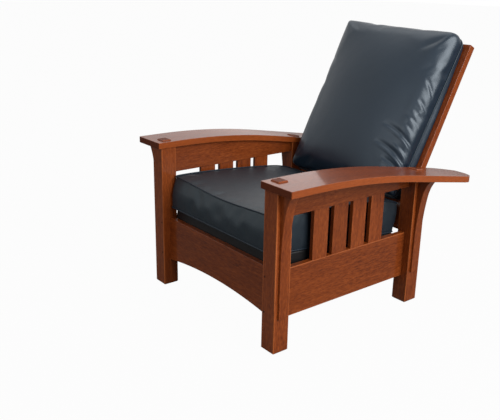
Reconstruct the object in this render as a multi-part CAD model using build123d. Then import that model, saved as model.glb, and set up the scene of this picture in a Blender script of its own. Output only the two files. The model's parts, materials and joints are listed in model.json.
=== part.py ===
"""Mission reclining armchair: bowed arms, slatted sides, ladder back held by two pegs, loose cushions.

Units are millimetres. While the pieces are drawn, y is 0 at the front face of the front posts and
grows towards the back, x is 0 on the centre line with the sitter's left hand on the +X side, and
z is 0 on the floor. On export everything moves along y so that the origin is the middle of the
chair's outline on the floor, +Z up. Functions that make one piece of a pair make the left one.
"""
from build123d import *
import math
import os

# Overall frame
chair_width = 744.0  # outside the posts
chair_depth = 725.0  # outside the posts
post_size = 63.5
foot_chamfer = 4.0
edge_ease = 1.6  # rounding on every handled edge
fine_ease = 0.8  # rounding on the slats
glue_gap = 0.15  # around tenons and slat ends
pin_gap = 0.05  # radial, around pins, pegs, dowels and screws
rest_gap = 0.3  # between a cushion and what it rests on
overrun = 10.0  # how far every cutter passes its face
cut_reach = 150.0  # how far the arm's own cutter reaches above it

# Rails
rail_thickness = 22.0
rail_recess = 30.5  # post face to rail face
rail_bottom = 108.5
side_rail_height = 176.5
rear_rail_height = 140.0
arch_rise = 26.0
upper_rail_height = 102.4  # at its front end, under the arm
tenon_thickness = 12.0
tenon_shoulder = 8.0
front_tenon_length = 28.0
tenon_web = 2.0  # wood left between two tenons that meet in a post

# Side slats
slat_count = 4
slat_width = 68.0
slat_gap = 24.0
slat_thickness = 15.0
slat_tenon = 10.0

# Arms
arm_above_deck = 265.0  # deck's front edge to the top of the arm's level front part
arm_thickness = 23.6
arm_width = 148.0
arm_inner_overhang = 5.5  # past the post's inner face
arm_front_overhang = 14.3
arm_tail = 91.0  # last peg hole to the rear end
arm_level_length = 94.3
arm_bend_rear_gap = 141.48  # end of the bend to the rear post's centre
arm_fall = 9.7  # degrees, slope of the rear part
arm_corner = 4.0
arm_tip_inset = 42.0
arm_sweep_radius = 250.0
arm_end_radius = 80.0

# Post tenons that pass through the arms
through_tenon_x = 41.0
through_tenon_y = 36.0
through_tenon_proud = 4.5
through_tenon_chamfer = 2.5

# Corbels under the arms
corbel_thickness = 35.0
corbel_foot_height = 130.0
corbel_foot_depth = 8.0
corbel_upper_radius = 150.0
corbel_upper_rise = 66.0
corbel_lower_radius = 900.0
corbel_lower_rise = 170.0
dowel_diameter = 8.0
dowel_length = 30.0
dowel_drop = 16.0  # arm underside to the first dowel
dowel_pitch = 34.0

# Pegs through the rail tenons
tenon_peg_diameter = 8.0
tenon_peg_length = 52.0
tenon_peg_edge = 10.0  # peg centre to the post's inner edge
tenon_peg_rise = 33.5  # rail bottom to the lower peg
tenon_peg_drop = 17.0  # rail top to the upper peg

# Foot glides
glide_diameter = 28.0
glide_height = 3.0
glide_nail_diameter = 3.0
glide_nail_length = 15.0

# Reclining back
recline = 27.0  # degrees from upright, resting on the pegs
pivot_drop = 12.0  # below the deck's front edge
back_side_gap = 8.5  # post to stile
stile_width = 44.0
stile_depth = 28.6
stile_above_pivot = 716.0
stile_below_pivot = 35.0
back_slat_thickness = 14.0
back_slat_bow = 12.0
back_slat_tenon = 18.0
back_slat_height = 46.0
back_slat_count = 5
crest_height = 80.0
crest_drop = 20.0  # stile top to crest top
bottom_rail_height = 60.0
bottom_rail_rise = 30.0  # pivot to the bottom rail

# Hinge pins and spacers
hinge_pin_diameter = 12.0
hinge_pin_depth = 45.0  # into the post
hinge_head_diameter = 22.0
hinge_head_height = 4.0
hinge_end_play = 0.3
spacer_diameter = 30.0
spacer_end_play = 0.15

# Support pegs and their holes in the arms
peg_diameter = 12.7
peg_depth = 35.0
peg_hole_extra = 3.0
peg_knob_diameter = 21.0
peg_knob_length = 15.0
peg_knob_gap = 0.6
peg_spacing = 30.0
peg_first_position = -2  # the foremost hole, counted from the one in use
peg_last_position = 1  # the rearmost hole, counted from the one in use

# Sprung seat deck
deck_above_rail = 40.0  # front rail top to the deck's front edge
deck_slope = 4.6  # degrees, down to the rear
deck_front_clearance = 0.4  # to the front rail
deck_side_clearance = 4.0  # to the posts
deck_rear_clearance = 22.3  # to the foot of the reclined back
cover_thickness = 1.5
deck_pad_edge = 28.0
deck_pad_recess = 9.0
deck_edge_radius = 16.0
deck_rail_width = 45.0
deck_rail_height = 24.0
deck_pad_rim = 20.0
dust_cover_thickness = 0.8
cleat_width = 38.0
cleat_height = 30.0

# Sinuous springs and their clips
spring_count = 5
spring_wire = 3.8
spring_turns = 15
spring_half_width = 22.0
clip_width = 18.0
clip_length = 12.0
clip_wall = 1.6

# Cleat screws
screw_diameter = 4.2
screw_head_diameter = 8.4
screw_head_height = 2.4
screw_bite = 13.0  # depth of the screw holes in the rail
screw_tip_gap = 1.0  # screw tip to the bottom of its hole
screws_per_cleat = 4

# Seat cushion
seat_front_y = 40.0
seat_rear_clearance = 11.6  # to the foot of the reclined back
seat_side_clearance = 4.5  # welts to the posts
seat_side_draw = 3.0
seat_band_bulge = 3.2
seat_band_height = 118.0
seat_rear_fall = 14.0  # how much lower the rear edge of the top is
seat_rear_fall_length = 130.0
seat_end_round = 7.0  # rounding of the front and rear panels
seat_shoulder_width = 36.0
seat_shoulder_rise = 19.0
seat_crown = 31.0
seat_crown_power = 0.35  # a low power keeps the top flat and full

# Back cushion
cushion_lift = 9.7  # over the seat cushion's rear edge, under the rounded lower edge
cushion_lower_depth = 80.0  # stile centre to where the lower edge starts to round
cushion_overtop = 18.0  # past the stile tops
cushion_welt_inset = 25.0  # stile's outer face to the welt
cushion_side_inset = 13.0  # stile's outer face to the bulging side
cushion_band = 26.0
cushion_edge_depth = 120.0  # rear face to the front edge of the crown
cushion_crown = 28.0
cushion_crown_power = 0.8
cushion_roll = 38.0  # width of the rolled side edge
cushion_low_round = 64.0  # rounding of the lower front edge
cushion_high_round = 55.0  # rounding of the upper front edge
cushion_corner_round = 16.0  # rounding of the corners seen from the front

# Derived places
inner_x = chair_width / 2 - post_size
back_width = 2 * (inner_x - back_side_gap)
rail_outer_x = chair_width / 2 - rail_recess
rail_inner_x = rail_outer_x - rail_thickness
side_rail_top = rail_bottom + side_rail_height
deck_front_height = side_rail_top + deck_above_rail  # top of the deck at its front edge
pivot_height = deck_front_height - pivot_drop
arm_height = deck_front_height + arm_above_deck
rear_rail_top = rail_bottom + rear_rail_height
post_x = chair_width / 2 - post_size / 2
front_post_y = post_size / 2
rear_post_y = chair_depth - post_size / 2
arm_inner_x = inner_x - arm_inner_overhang
arm_outer_x = arm_inner_x + arm_width
arm_front_y = -arm_front_overhang
arm_level_end_y = arm_front_y + arm_level_length
arm_underside = arm_height - arm_thickness
upper_rail_bottom = arm_underside - upper_rail_height
arm_bend_end_y = rear_post_y - arm_bend_rear_gap
arm_bend_radius = (arm_bend_end_y - arm_level_end_y) / math.sin(math.radians(arm_fall))
arm_bend_drop = arm_bend_radius * (1 - math.cos(math.radians(arm_fall)))
arm_slope = math.tan(math.radians(arm_fall))
stile_inner_x = back_width / 2 - stile_width
back_frame = Pos(0, rear_post_y, pivot_height) * Rot(X=-recline)
lean_sine = math.sin(math.radians(recline))
lean_cosine = math.cos(math.radians(recline))
stile_foot_y = rear_post_y - stile_below_pivot * lean_sine - stile_depth / 2 * lean_cosine

deck_slope_sine = math.sin(math.radians(deck_slope))
deck_slope_cosine = math.cos(math.radians(deck_slope))
deck_depth = cover_thickness + deck_pad_edge + deck_rail_height
deck_lean = deck_depth * deck_slope_sine  # how far forward the deck's lower edge comes
deck_front_y = rail_recess + rail_thickness + deck_lean + deck_front_clearance
deck_width = 2 * (inner_x - deck_side_clearance)
deck_length = (stile_foot_y - deck_rear_clearance - deck_front_y) / deck_slope_cosine
spring_spacing = (deck_width - 2 * deck_rail_width) / spring_count

seat_rear_y = stile_foot_y - seat_rear_clearance
seat_length = (seat_rear_y - seat_front_y) / deck_slope_cosine
seat_corner_half_width = inner_x - seat_side_clearance
seat_rear_deck_height = deck_front_height - (seat_rear_y - deck_front_y) * deck_slope_sine
seat_rear_top = seat_rear_deck_height + seat_band_height - seat_rear_fall + seat_shoulder_rise
cushion_low_height = seat_rear_top + cushion_lift - pivot_height
cushion_start = (cushion_low_height - cushion_lower_depth * lean_sine) / lean_cosine
cushion_end = stile_above_pivot + cushion_overtop
cushion_rear_half_width = back_width / 2 - cushion_welt_inset
cushion_bulge_half_width = back_width / 2 - cushion_side_inset


def block(x_range, y_range, z_range):
    """A box between two limits on each axis."""
    size = [high - low for low, high in (x_range, y_range, z_range)]
    middle = [(high + low) / 2 for low, high in (x_range, y_range, z_range)]
    return Pos(*middle) * Box(*size)


def rod(radius, start, direction, length):
    """A round rod from a start point along a direction."""
    return extrude(Plane(origin=start, z_dir=direction) * Circle(radius), length)


def eased(shape, radius, axis):
    """The shape with its edges along one axis rounded."""
    return fillet(shape.edges().filter_by(axis), radius)


def mirrored(shape):
    """The same piece on the other side of the chair."""
    return mirror(shape, about=Plane.YZ)


def group(shapes):
    """Separate solids kept as one node."""
    return Compound(children=[solid for shape in shapes for solid in shape.solids()])


def arm_side_face(top_offset, bottom_offset):
    """The arm seen from the side, bent, between two offsets below its top surface."""
    turn = math.radians(arm_fall)
    centre_z = arm_height - arm_bend_radius

    def bend_point(offset, angle):
        radius = arm_bend_radius - offset
        return (arm_level_end_y + radius * math.sin(angle), centre_z + radius * math.cos(angle))

    def rear_point(offset):
        y, z = bend_point(offset, turn)
        run = arm_rear_y + overrun - y
        return (y + run, z - run * arm_slope)

    top_front = (arm_front_y - overrun, arm_height - top_offset)
    bottom_front = (arm_front_y - overrun, arm_height - bottom_offset)
    with BuildSketch(Plane.YZ) as face:
        with BuildLine():
            Line(top_front, bend_point(top_offset, 0))
            ThreePointArc(*[bend_point(top_offset, turn * share) for share in (0, 0.5, 1)])
            Line(bend_point(top_offset, turn), rear_point(top_offset))
            Line(rear_point(top_offset), rear_point(bottom_offset))
            Line(rear_point(bottom_offset), bend_point(bottom_offset, turn))
            ThreePointArc(*[bend_point(bottom_offset, turn * share) for share in (1, 0.5, 0)])
            Line(bend_point(bottom_offset, 0), bottom_front)
            Line(bottom_front, top_front)
        make_face()
    return face.sketch


def arm_slab(top_offset, bottom_offset):
    """A bent slab that follows the arm, as wide as the whole chair and wider."""
    reach = chair_width
    return Pos(-reach, 0, 0) * extrude(arm_side_face(top_offset, bottom_offset), 2 * reach)


def arm_outline():
    """The left arm seen from above, with its tail swept outwards and rounded."""
    sweep_turn = math.acos(1 - arm_tip_inset / arm_sweep_radius)
    sweep_start_y = arm_rear_y - arm_sweep_radius * math.sin(sweep_turn)
    sweep_centre_x = arm_inner_x + arm_sweep_radius

    def sweep_point(angle):
        x = sweep_centre_x - arm_sweep_radius * math.cos(angle)
        return (x, sweep_start_y + arm_sweep_radius * math.sin(angle))

    tip = sweep_point(sweep_turn)
    end_centre = (arm_outer_x - arm_end_radius, arm_rear_y - arm_end_radius)
    diagonal = arm_end_radius * math.sqrt(0.5)
    with BuildSketch() as outline:
        with BuildLine():
            Line((arm_inner_x, arm_front_y), (arm_inner_x, sweep_start_y))
            ThreePointArc((arm_inner_x, sweep_start_y), sweep_point(sweep_turn / 2), tip)
            Line(tip, (end_centre[0], arm_rear_y))
            ThreePointArc(
                (end_centre[0], arm_rear_y),
                (end_centre[0] + diagonal, end_centre[1] + diagonal),
                (arm_outer_x, end_centre[1]),
            )
            Line((arm_outer_x, end_centre[1]), (arm_outer_x, arm_front_y))
            Line((arm_outer_x, arm_front_y), (arm_inner_x, arm_front_y))
        make_face()
        front_corners = outline.vertices().sort_by(Axis.Y)[:2]
        fillet(front_corners, arm_corner)
        tip_corner = outline.vertices().sort_by_distance((tip[0], tip[1], 0))[0]
        fillet(tip_corner, 3 * arm_corner)
    return outline.sketch


def peg_places():
    """The y and z of each peg hole, the one in use at position 0.

    The peg in use touches the rear face of the stile and lies midway in the arm's thickness.
    """
    behind_stile = stile_depth / 2 + peg_diameter / 2 + rest_gap
    mid_arm = arm_thickness / 2 / math.cos(math.radians(arm_fall))
    mid_arm_at_bend = arm_height - arm_bend_drop - mid_arm
    level_y = rear_post_y * lean_cosine - pivot_height * lean_sine + behind_stile
    slope_part = lean_sine * (mid_arm_at_bend + arm_slope * arm_bend_end_y)
    used_y = (level_y + slope_part) / (lean_cosine + arm_slope * lean_sine)
    places = {}
    for position in range(peg_first_position, peg_last_position + 1):
        y = used_y + position * peg_spacing
        places[position] = (y, mid_arm_at_bend - arm_slope * (y - arm_bend_end_y))
    return places


arm_rear_y = peg_places()[peg_last_position][0] + arm_tail


def through_tenon(centre_y, gap):
    """The part of a post that passes through the arm, or its mortise when gap is not zero."""
    half_x = through_tenon_x / 2 + gap
    half_y = through_tenon_y / 2 + gap
    return block(
        (post_x - half_x, post_x + half_x),
        (centre_y - half_y, centre_y + half_y),
        (upper_rail_bottom, arm_height + overrun),
    )


def make_arm():
    """The left arm: a bent board with mortises for both posts and holes for the pegs."""
    board = extrude(arm_outline(), arm_height + overrun) & arm_slab(0, arm_thickness)
    board = board.solid()
    broad_edges = board.edges().filter_by(lambda edge: edge.length > arm_thickness * 1.2)
    board = fillet(broad_edges, edge_ease)
    for centre_y in (front_post_y, rear_post_y):
        board -= through_tenon(centre_y, glue_gap)
    hole_length = peg_depth + peg_hole_extra + overrun
    for y, z in peg_places().values():
        board -= rod(peg_diameter / 2 + pin_gap, (arm_inner_x - overrun, y, z), (1, 0, 0), hole_length)
    return board


def tenon_peg_rods(is_front, gap):
    """The pegs through one post's rail tenons, or their holes when gap is not zero."""
    face_y = 0 if is_front else chair_depth
    direction = (0, 1, 0) if is_front else (0, -1, 0)
    rail_top = side_rail_top if is_front else rear_rail_top
    heights = (rail_bottom + tenon_peg_rise, rail_top - tenon_peg_drop)
    x = inner_x + tenon_peg_edge
    radius = tenon_peg_diameter / 2 + gap
    return [rod(radius, (x, face_y, z), direction, tenon_peg_length) for z in heights]


def make_post(centre_y, is_front):
    """A left post with its foot chamfered, its mortises and its tenon through the arm."""
    half = post_size / 2
    body = block(
        (post_x - half, post_x + half),
        (centre_y - half, centre_y + half),
        (glide_height, arm_height + overrun),
    )
    body = chamfer(body.faces().sort_by(Axis.Z)[0].edges(), foot_chamfer)
    body = eased(body, edge_ease, Axis.Z)
    body -= arm_slab(arm_thickness, -cut_reach)
    tenon = through_tenon(centre_y, 0) - arm_slab(-through_tenon_proud, -cut_reach)
    tenon = chamfer(tenon.faces().sort_by(Axis.Z)[-1].edges(), through_tenon_chamfer)
    body += tenon

    face_y = 0 if is_front else chair_depth
    inward = 1 if is_front else -1
    rail_top = side_rail_top if is_front else rear_rail_top
    body -= cross_tenon(face_y, inward, rail_top, glue_gap)
    body -= side_tenon(centre_y, inward, lower_tenon_heights(), glue_gap)
    body -= side_tenon(centre_y, inward, upper_tenon_heights(), glue_gap)
    for hole in tenon_peg_rods(is_front, pin_gap):
        body -= hole
    for start in corbel_dowel_starts(centre_y):
        body -= rod(dowel_diameter / 2 + pin_gap, start, (1, 0, 0), dowel_length)
    nail_hole = glide_nail_diameter / 2 + pin_gap
    nail_start = (post_x, centre_y, glide_height)
    body -= rod(nail_hole, nail_start, (0, 0, 1), glide_nail_length + rest_gap)
    if not is_front:
        pin_start = (inner_x, rear_post_y, pivot_height)
        body -= rod(hinge_pin_diameter / 2 + pin_gap, pin_start, (1, 0, 0), hinge_pin_depth)
    return body


def cross_tenon_y(face_y, inward, gap):
    """The y limits of a front or rear rail's tenon."""
    centre = face_y + inward * (rail_recess + rail_thickness / 2)
    return (centre - tenon_thickness / 2 - gap, centre + tenon_thickness / 2 + gap)


def cross_tenon(face_y, inward, rail_top, gap):
    """The tenon of a front or rear rail in the left post."""
    return block(
        (inner_x, inner_x + front_tenon_length + gap),
        cross_tenon_y(face_y, inward, gap),
        (rail_bottom + tenon_shoulder - gap, rail_top - tenon_shoulder + gap),
    )


def lower_tenon_heights():
    """The z limits of the lower side rail's tenons."""
    return (rail_bottom + tenon_shoulder, side_rail_top - tenon_shoulder)


def upper_tenon_heights():
    """The z limits of the upper side rail's tenons, set by the low rear end."""
    rear_face_y = chair_depth - post_size
    top = arm_height - arm_bend_drop - arm_slope * (rear_face_y - arm_bend_end_y) - arm_thickness
    return (upper_rail_bottom + tenon_shoulder, top - tenon_shoulder)


def side_tenon_length():
    """How deep a side rail's tenon goes before it would meet the cross rail's tenon."""
    cross_end = rail_recess + (rail_thickness + tenon_thickness) / 2
    return post_size - cross_end - tenon_web


def side_tenon(centre_y, inward, heights, gap):
    """The tenon of a side rail in the left post at centre_y."""
    shoulder = centre_y + inward * post_size / 2
    tip = shoulder - inward * (side_tenon_length() + gap)
    middle_x = (rail_inner_x + rail_outer_x) / 2
    half = tenon_thickness / 2 + gap
    return block(
        (middle_x - half, middle_x + half),
        (min(shoulder, tip), max(shoulder, tip)),
        (heights[0] - gap, heights[1] + gap),
    )


def slat_y_ranges():
    """The y limits of each side slat, grouped about the middle of the side."""
    total = slat_count * slat_width + (slat_count - 1) * slat_gap
    first = (chair_depth - total) / 2
    starts = [first + index * (slat_width + slat_gap) for index in range(slat_count)]
    return [(start, start + slat_width) for start in starts]


def slat_solid(y_range, gap):
    """One left side slat, or the pocket for it when gap is not zero."""
    middle_x = (rail_inner_x + rail_outer_x) / 2
    half = slat_thickness / 2 + gap
    return block(
        (middle_x - half, middle_x + half),
        (y_range[0] - gap, y_range[1] + gap),
        (side_rail_top - slat_tenon - gap, upper_rail_bottom + slat_tenon + gap),
    )


def make_side_rail(is_upper):
    """A left side rail with its tenons and the pockets for the slats."""
    heights = upper_tenon_heights() if is_upper else lower_tenon_heights()
    z_range = (upper_rail_bottom, arm_height) if is_upper else (rail_bottom, side_rail_top)
    rail = block((rail_inner_x, rail_outer_x), (post_size, chair_depth - post_size), z_range)
    rail = eased(rail, edge_ease, Axis.Y)
    if is_upper:
        rail -= arm_slab(arm_thickness, -cut_reach)
    rail += side_tenon(front_post_y, 1, heights, 0)
    rail += side_tenon(rear_post_y, -1, heights, 0)
    for y_range in slat_y_ranges():
        rail -= slat_solid(y_range, glue_gap)
    if not is_upper:
        for start in cleat_screw_starts():
            rail -= rod(screw_diameter / 2 + pin_gap, start, (1, 0, 0), cleat_width + screw_bite)
    return rail


def make_slat(y_range):
    """A left side slat."""
    return eased(slat_solid(y_range, 0), fine_ease, Axis.Z)


def make_cross_rail(is_front):
    """The front rail with its arched lower edge, or the straight rear rail."""
    face_y = 0 if is_front else chair_depth
    inward = 1 if is_front else -1
    rail_top = side_rail_top if is_front else rear_rail_top
    outer_y = face_y + inward * rail_recess
    inner_y = outer_y + inward * rail_thickness
    y_range = (min(outer_y, inner_y), max(outer_y, inner_y))
    rail = block((-inner_x, inner_x), y_range, (rail_bottom, rail_top))
    rail = fillet(rail.edges().filter_by(Axis.X).sort_by(Axis.Z)[2:], edge_ease)
    if is_front:
        radius = (inner_x ** 2 + arch_rise ** 2) / (2 * arch_rise)
        centre = (0, y_range[0] - overrun, rail_bottom + arch_rise - radius)
        rail -= rod(radius, centre, (0, 1, 0), rail_thickness + 2 * overrun)
    tenon = cross_tenon(face_y, inward, rail_top, 0)
    rail += tenon
    rail += mirrored(tenon)
    for hole in tenon_peg_rods(is_front, pin_gap):
        rail -= hole
        rail -= mirrored(hole)
    return rail


def underside_height(y):
    """The height of the arm's underside at a place along it."""
    offset_radius = arm_bend_radius - arm_thickness
    if y <= arm_level_end_y:
        return arm_underside
    bend_end = arm_level_end_y + offset_radius * math.sin(math.radians(arm_fall))
    if y <= bend_end:
        return arm_underside - offset_radius + math.sqrt(offset_radius ** 2 - (y - arm_level_end_y) ** 2)
    drop = offset_radius * (1 - math.cos(math.radians(arm_fall)))
    return arm_underside - drop - arm_slope * (y - bend_end)


def corbel_dowel_starts(centre_y):
    """Where each hidden dowel of a corbel begins, inside the post."""
    top = underside_height(centre_y)
    start_x = chair_width / 2 - dowel_length / 2
    return [(start_x, centre_y, top - dowel_drop - index * dowel_pitch) for index in range(2)]


def make_corbel(centre_y):
    """A left corbel: a long bracket whose outer edge sweeps out under the arm."""
    post_face_x = chair_width / 2
    foot_x = post_face_x + corbel_foot_depth
    bend_z = underside_height(centre_y) - corbel_upper_rise
    straight_z = bend_z - corbel_lower_rise
    lower_turn = math.asin(corbel_lower_rise / corbel_lower_radius)
    upper_reach = (corbel_upper_rise + overrun) / corbel_upper_radius
    upper_turn = math.asin(math.sin(lower_turn) + upper_reach)

    def lower_point(angle):
        x = foot_x + corbel_lower_radius * (1 - math.cos(angle))
        return (x, straight_z + corbel_lower_radius * math.sin(angle))

    def upper_point(angle):
        start_x, start_z = lower_point(lower_turn)
        x = start_x + corbel_upper_radius * (math.cos(lower_turn) - math.cos(angle))
        return (x, start_z + corbel_upper_radius * (math.sin(angle) - math.sin(lower_turn)))

    tip = upper_point(upper_turn)
    with BuildSketch(Plane.XZ) as face:
        with BuildLine():
            Line((post_face_x, corbel_foot_height), (foot_x, corbel_foot_height))
            Line((foot_x, corbel_foot_height), (foot_x, straight_z))
            ThreePointArc(*[lower_point(lower_turn * share) for share in (0, 0.5, 1)])
            middle_turn = (lower_turn + upper_turn) / 2
            ThreePointArc(lower_point(lower_turn), upper_point(middle_turn), tip)
            Line(tip, (post_face_x, tip[1]))
            Line((post_face_x, tip[1]), (post_face_x, corbel_foot_height))
        make_face()
    corbel = Pos(0, centre_y, 0) * extrude(face.sketch, corbel_thickness / 2, both=True)
    outer_edges = corbel.edges().filter_by(
        lambda edge: edge.center().X > post_face_x + corbel_foot_depth / 2
        and edge.length > corbel_thickness * 1.2
    )
    corbel = fillet(outer_edges, edge_ease)
    corbel -= arm_slab(arm_thickness, -cut_reach)
    for start in corbel_dowel_starts(centre_y):
        corbel -= rod(dowel_diameter / 2 + pin_gap, start, (1, 0, 0), dowel_length)
    return corbel


def make_corbel_dowels():
    """The hidden dowels between the corbels and the posts."""
    starts = corbel_dowel_starts(front_post_y) + corbel_dowel_starts(rear_post_y)
    left = [rod(dowel_diameter / 2, start, (1, 0, 0), dowel_length) for start in starts]
    return group(left + [mirrored(dowel) for dowel in left])


def make_tenon_pegs():
    """All the pegs through the rail tenons."""
    left = tenon_peg_rods(True, 0) + tenon_peg_rods(False, 0)
    return group(left + [mirrored(peg) for peg in left])


def make_foot_glides():
    """A round glide with its nail under each post."""
    glides = []
    for y in (front_post_y, rear_post_y):
        disc = rod(glide_diameter / 2, (post_x, y, 0), (0, 0, 1), glide_height)
        disc = chamfer(disc.edges().group_by(Axis.Z)[0], glide_height / 3)
        nail_start = (post_x, y, glide_height)
        nail = rod(glide_nail_diameter / 2, nail_start, (0, 0, 1), glide_nail_length)
        glides.append(disc + nail)
    return group(glides + [mirrored(glide) for glide in glides])


def bowed_board(s_range, thickness, half_length):
    """A back slat in the back's own frame, bowed to the rear between the stiles."""
    radius = (stile_inner_x ** 2 + back_slat_bow ** 2) / (2 * back_slat_bow)
    turn = math.asin(half_length / radius)
    centre_y = back_slat_bow - radius

    def point(offset, angle):
        return ((radius + offset) * math.sin(angle), centre_y + (radius + offset) * math.cos(angle))

    half = thickness / 2
    with BuildSketch(Plane.XY.offset(s_range[0])) as face:
        with BuildLine():
            ThreePointArc(point(half, -turn), point(half, 0), point(half, turn))
            Line(point(half, turn), point(-half, turn))
            ThreePointArc(point(-half, turn), point(-half, 0), point(-half, -turn))
            Line(point(-half, -turn), point(half, -turn))
        make_face()
    return extrude(face.sketch, s_range[1] - s_range[0])


def back_member_ranges():
    """The lower and upper limit of each crosspiece, measured up the back from the pivot."""
    bottom = (bottom_rail_rise, bottom_rail_rise + bottom_rail_height)
    crest_top = stile_above_pivot - crest_drop
    crest = (crest_top - crest_height, crest_top)
    free = crest[0] - bottom[1] - back_slat_count * back_slat_height
    gap = free / (back_slat_count + 1)
    slats = []
    for index in range(back_slat_count):
        start = bottom[1] + gap + index * (back_slat_height + gap)
        slats.append((start, start + back_slat_height))
    return {"bottom": bottom, "slats": slats, "crest": crest}


def make_back_member(s_range):
    """A crosspiece of the back, tenoned into both stiles."""
    board = bowed_board(s_range, back_slat_thickness, stile_inner_x + back_slat_tenon)
    long_edges = board.edges().filter_by(lambda edge: edge.length > 2 * stile_inner_x)
    return back_frame * fillet(long_edges, edge_ease)


def make_stile():
    """The left stile of the back, bored for the hinge pin and mortised for the slats."""
    half = stile_depth / 2
    stile = block(
        (stile_inner_x, back_width / 2), (-half, half), (-stile_below_pivot, stile_above_pivot)
    )
    foot_edges = stile.faces().sort_by(Axis.Z)[0].edges().filter_by(Axis.X)
    stile = chamfer(foot_edges, stile_depth / 4)
    stile = eased(stile, edge_ease, Axis.Z)
    stile = fillet(stile.faces().sort_by(Axis.Z)[-1].edges(), edge_ease)
    members = back_member_ranges()
    for s_range in [members["bottom"], *members["slats"], members["crest"]]:
        pocket = (s_range[0] - glue_gap, s_range[1] + glue_gap)
        reach = stile_inner_x + back_slat_tenon + glue_gap
        stile -= bowed_board(pocket, back_slat_thickness + 2 * glue_gap, reach)
    bore_start = (stile_inner_x - overrun, 0, 0)
    stile -= rod(hinge_pin_diameter / 2 + pin_gap, bore_start, (1, 0, 0), stile_width + 2 * overrun)
    return back_frame * stile


def make_hinge_pin():
    """The left hinge pin: a round bar in the post with a head inside the stile."""
    head_face_x = stile_inner_x - hinge_end_play
    centre = (rear_post_y, pivot_height)
    bar_length = inner_x + hinge_pin_depth - head_face_x
    bar = rod(hinge_pin_diameter / 2, (head_face_x, *centre), (1, 0, 0), bar_length)
    head_start = (head_face_x - hinge_head_height, *centre)
    head = rod(hinge_head_diameter / 2, head_start, (1, 0, 0), hinge_head_height)
    head = fillet(head.edges().group_by(Axis.X)[0], hinge_head_height / 4)
    return head + bar


def make_spacer():
    """The washer that fills the space between a stile and its post."""
    length = inner_x - back_width / 2 - 2 * spacer_end_play
    start = (back_width / 2 + spacer_end_play, rear_post_y, pivot_height)
    ring = rod(spacer_diameter / 2, start, (1, 0, 0), length)
    return ring - rod(hinge_pin_diameter / 2 + pin_gap, start, (1, 0, 0), length)


def make_support_peg():
    """The left peg in the arm, on which the reclined back rests."""
    y, z = peg_places()[0]
    knob_face_x = stile_inner_x - peg_knob_gap
    length = arm_inner_x + peg_depth - knob_face_x
    shank = rod(peg_diameter / 2, (knob_face_x, y, z), (1, 0, 0), length)
    shank = chamfer(shank.edges().group_by(Axis.X)[-1], edge_ease)
    knob = rod(peg_knob_diameter / 2, (knob_face_x - peg_knob_length, y, z), (1, 0, 0), peg_knob_length)
    knob = fillet(knob.edges().group_by(Axis.X)[0], peg_knob_diameter / 4)
    knob = fillet(knob.edges().group_by(Axis.X)[-1], edge_ease)
    return knob + shank


deck_frame = Pos(0, deck_front_y, deck_front_height) * Rot(X=-deck_slope)
deck_half = deck_width / 2
deck_inner_half = deck_half - cover_thickness
deck_rail_top = -cover_thickness - deck_pad_edge
deck_rail_low = deck_rail_top - deck_rail_height
deck_rail_span = (cover_thickness, deck_length - cover_thickness)


def rounded_deck_block(inset, z_low):
    """A deck-sized block with rounded top edges, drawn in by an inset on every side but the bottom."""
    body = block(
        (-deck_half + inset, deck_half - inset), (inset, deck_length - inset), (z_low, -inset)
    )
    body = eased(body, deck_edge_radius - inset, Axis.Z)
    return fillet(body.faces().sort_by(Axis.Z)[-1].edges(), deck_edge_radius / 2 - inset / 2)


def make_deck_cover():
    """The leather stretched over the seat deck, open underneath."""
    shell = rounded_deck_block(0, deck_rail_low)
    return deck_frame * (shell - rounded_deck_block(cover_thickness, deck_rail_low - overrun))


def make_deck_pad():
    """The pad under the deck cover, hollowed over the springs."""
    pad = rounded_deck_block(cover_thickness, deck_rail_top)
    rim = cover_thickness + deck_pad_rim
    hollow = block(
        (-deck_half + rim, deck_half - rim),
        (rim, deck_length - rim),
        (deck_rail_top - overrun, deck_rail_top + deck_pad_recess),
    )
    return deck_frame * (pad - hollow)


def make_deck_rail(name):
    """One hardwood rail of the deck's frame."""
    z_range = (deck_rail_low, deck_rail_top)
    y_low, y_high = deck_rail_span
    corner = deck_edge_radius - cover_thickness
    if name in ("front", "rear"):
        y_range = (y_low, y_low + deck_rail_width)
        if name == "rear":
            y_range = (y_high - deck_rail_width, y_high)
        rail = block((-deck_inner_half, deck_inner_half), y_range, z_range)
        outer = rail.edges().filter_by(Axis.Z).sort_by(Axis.Y)
        rail = fillet(outer[:2] if name == "front" else outer[-2:], corner)
        return deck_frame * rail
    rail = block(
        (deck_inner_half - deck_rail_width, deck_inner_half),
        (y_low + deck_rail_width, y_high - deck_rail_width),
        z_range,
    )
    return deck_frame * rail


def make_dust_cover():
    """The thin cloth under the deck, between the cleats."""
    half_x = rail_inner_x - cleat_width - rest_gap
    return deck_frame * block(
        (-half_x, half_x),
        deck_rail_span,
        (deck_rail_low - dust_cover_thickness, deck_rail_low),
    )


def cleat_y_range():
    """Where a cleat runs along the side rail, in the deck's frame."""
    front = (post_size + overrun - deck_front_y) / deck_slope_cosine
    return (front, deck_length - cover_thickness)


def cleat_screw_starts():
    """The head seat of each cleat screw, in chair coordinates."""
    low, high = cleat_y_range()
    z = deck_rail_low - cleat_height / 2
    starts = []
    for index in range(screws_per_cleat):
        y = low + (high - low) * (index + 0.5) / screws_per_cleat
        place = deck_frame * Pos(rail_inner_x - cleat_width, y, z)
        starts.append((place.position.X, place.position.Y, place.position.Z))
    return starts


def make_cleat():
    """The left cleat that carries the deck on the side rail."""
    cleat = deck_frame * block(
        (rail_inner_x - cleat_width, rail_inner_x),
        cleat_y_range(),
        (deck_rail_low - cleat_height, deck_rail_low),
    )
    for start in cleat_screw_starts():
        cleat -= rod(screw_diameter / 2 + pin_gap, start, (1, 0, 0), cleat_width)
    return cleat


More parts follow.
